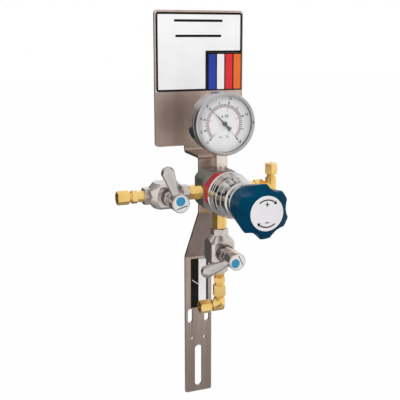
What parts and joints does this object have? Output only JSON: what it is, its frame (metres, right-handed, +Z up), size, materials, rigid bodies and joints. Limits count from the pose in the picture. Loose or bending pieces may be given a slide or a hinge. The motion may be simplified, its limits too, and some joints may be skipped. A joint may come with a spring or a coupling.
{
  "type": "gas regulator panel",
  "caption": "Wall bracket with sign plate, line pressure regulator with lobed knob, dial gauge, inlet and outlet lever valves, compression fittings and relief valve.",
  "frame": {"origin": "on the wall face of the lower strip, half way between its two small screw holes", "axes": "+X right along the wall, +Y into the wall, +Z up"},
  "size_m": [0.1806, 0.1781, 0.4498],
  "materials": {
    "plated_steel": "satin zinc-plated sheet",
    "sign_white": "smooth white sign plastic",
    "tag_orange": "coloured film",
    "label_black": "black label",
    "screw_steel": "zinc-plated",
    "body_nickel": "nickel-plated brass, bar turned and milled",
    "collar_red": "red anodised",
    "bonnet_nickel": "polished nickel plate",
    "valve_nickel": "satin nickel plate",
    "steel": "stainless steel",
    "brass": "bare brass bar",
    "knob_blue": "moulded blue plastic",
    "disc_white": "white plate",
    "spot_blue": "coloured insert",
    "case_steel": "bright stainless case",
    "bezel_steel": "polished stainless bezel",
    "glass": "clear flat lens",
    "dial_white": "printed dial",
    "pointer_black": "black",
    "bronze": "bronze tube",
    "rubber_black": "moulded rubber"
  },
  "bodies": {
    "panel": {"bracket": "plated_steel", "sign_panel": "sign_white", "colour_tag": "tag_orange", "strip_label": "label_black", "mounting_screws": "screw_steel", "regulator_body": "body_nickel", "collar": "collar_red", "seat_ring": "brass", "poppet_spring": "steel", "diaphragm": "steel", "bonnet": "bonnet_nickel", "range_spring": "steel", "gauge_socket": "brass", "gauge_case": "case_steel", "gauge_bezel": "bezel_steel", "gauge_gasket": "rubber_black", "gauge_lens": "glass", "gauge_dial": "dial_white", "gauge_movement": "brass", "bourdon_tube": "bronze", "dial_screws": "steel", "gauge_plug": "rubber_black", "inlet_nipple": "brass", "inlet_connector": "brass", "inlet_nut": "brass", "inlet_ferrules": "brass", "outlet_nipple": "brass", "outlet_connector": "brass", "outlet_union_nut": "brass", "outlet_union_ferrules": "brass", "outlet_elbow": "brass", "outlet_nut": "brass", "outlet_ferrules": "brass", "relief_nipple": "brass", "relief_body": "brass", "relief_cap": "brass", "relief_spring": "steel", "inlet_valve_body": "valve_nickel", "inlet_valve_bonnet": "valve_nickel", "inlet_valve_diaphragm": "steel", "outlet_valve_body": "valve_nickel", "outlet_valve_bonnet": "valve_nickel", "outlet_valve_diaphragm": "steel"},
    "button": {"spring_button": "steel"},
    "adjuster": {"adjusting_screw": "steel", "knob": "knob_blue", "knob_disc": "disc_white"},
    "poppet": {"main_poppet": "steel", "diaphragm_plate": "steel"},
    "pointer": {"gauge_pointer": "pointer_black"},
    "sector": {"gauge_sector": "brass"},
    "inlet_lever": {"inlet_valve_stem": "steel", "inlet_handle": "valve_nickel", "inlet_handle_spot": "spot_blue"},
    "inlet_plunger": {"inlet_valve_plunger": "steel"},
    "outlet_lever": {"outlet_valve_stem": "steel", "outlet_handle": "valve_nickel", "outlet_handle_spot": "spot_blue"},
    "outlet_plunger": {"outlet_valve_plunger": "steel"},
    "relief_poppet": {"relief_poppet": "steel"}
  },
  "joints": [
    {"name": "spring_button_travel", "type": "slide", "parent": "panel", "child": "button", "axis": [0, 1, 0], "range_m": [-0.0051, 0.0063], "deforming": ["range_spring"]},
    {"name": "knob_turn", "type": "hinge", "parent": "button", "child": "adjuster", "pos_m": [0, -0.15, 0.193], "axis": [0, 1, 0], "range_deg": [-1440, 1800]},
    {"name": "main_poppet_lift", "type": "slide", "parent": "panel", "child": "poppet", "axis": [0, 1, 0], "range_m": [0, 0.001], "stiffness_N_per_m": 1500, "springref_m": -0.002, "deforming": ["poppet_spring", "diaphragm"]},
    {"name": "pointer_turn", "type": "hinge", "parent": "panel", "child": "pointer", "pos_m": [0, -0.0655, 0.265], "axis": [0, 1, 0], "range_deg": [-91, 183]},
    {"name": "sector_swing", "type": "hinge", "parent": "panel", "child": "sector", "pos_m": [0, -0.0655, 0.254], "axis": [0, 1, 0], "range_deg": [-25.5, 13]},
    {"name": "inlet_lever_turn", "type": "hinge", "parent": "panel", "child": "inlet_lever", "pos_m": [-0.0609, -0.1045, 0.193], "axis": [0, -1, 0], "range_deg": [-15, 75]},
    {"name": "inlet_plunger_lift", "type": "slide", "parent": "panel", "child": "inlet_plunger", "axis": [0, -1, 0], "range_m": [-0.0001, 0.0005]},
    {"name": "outlet_lever_turn", "type": "hinge", "parent": "panel", "child": "outlet_lever", "pos_m": [0, -0.1045, 0.1271], "axis": [0, -1, 0], "range_deg": [-25, 65]},
    {"name": "outlet_plunger_lift", "type": "slide", "parent": "panel", "child": "outlet_plunger", "axis": [0, -1, 0], "range_m": [-0.00015, 0.0005]},
    {"name": "relief_poppet_lift", "type": "slide", "parent": "panel", "child": "relief_poppet", "axis": [0, 0, 1], "range_m": [0, 0.0015], "stiffness_N_per_m": 800, "springref_m": -0.002, "deforming": ["relief_spring"]}
  ],
  "couplings": [
    {"joint": "spring_button_travel", "follows": "knob_turn", "m_per_rad": 0.00019894},
    {"joint": "sector_swing", "follows": "pointer_turn", "ratio": -0.13684},
    {"joint": "inlet_plunger_lift", "follows": "inlet_lever_turn", "m_per_rad": 0.00031831},
    {"joint": "outlet_plunger_lift", "follows": "outlet_lever_turn", "m_per_rad": 0.00031831}
  ]
}
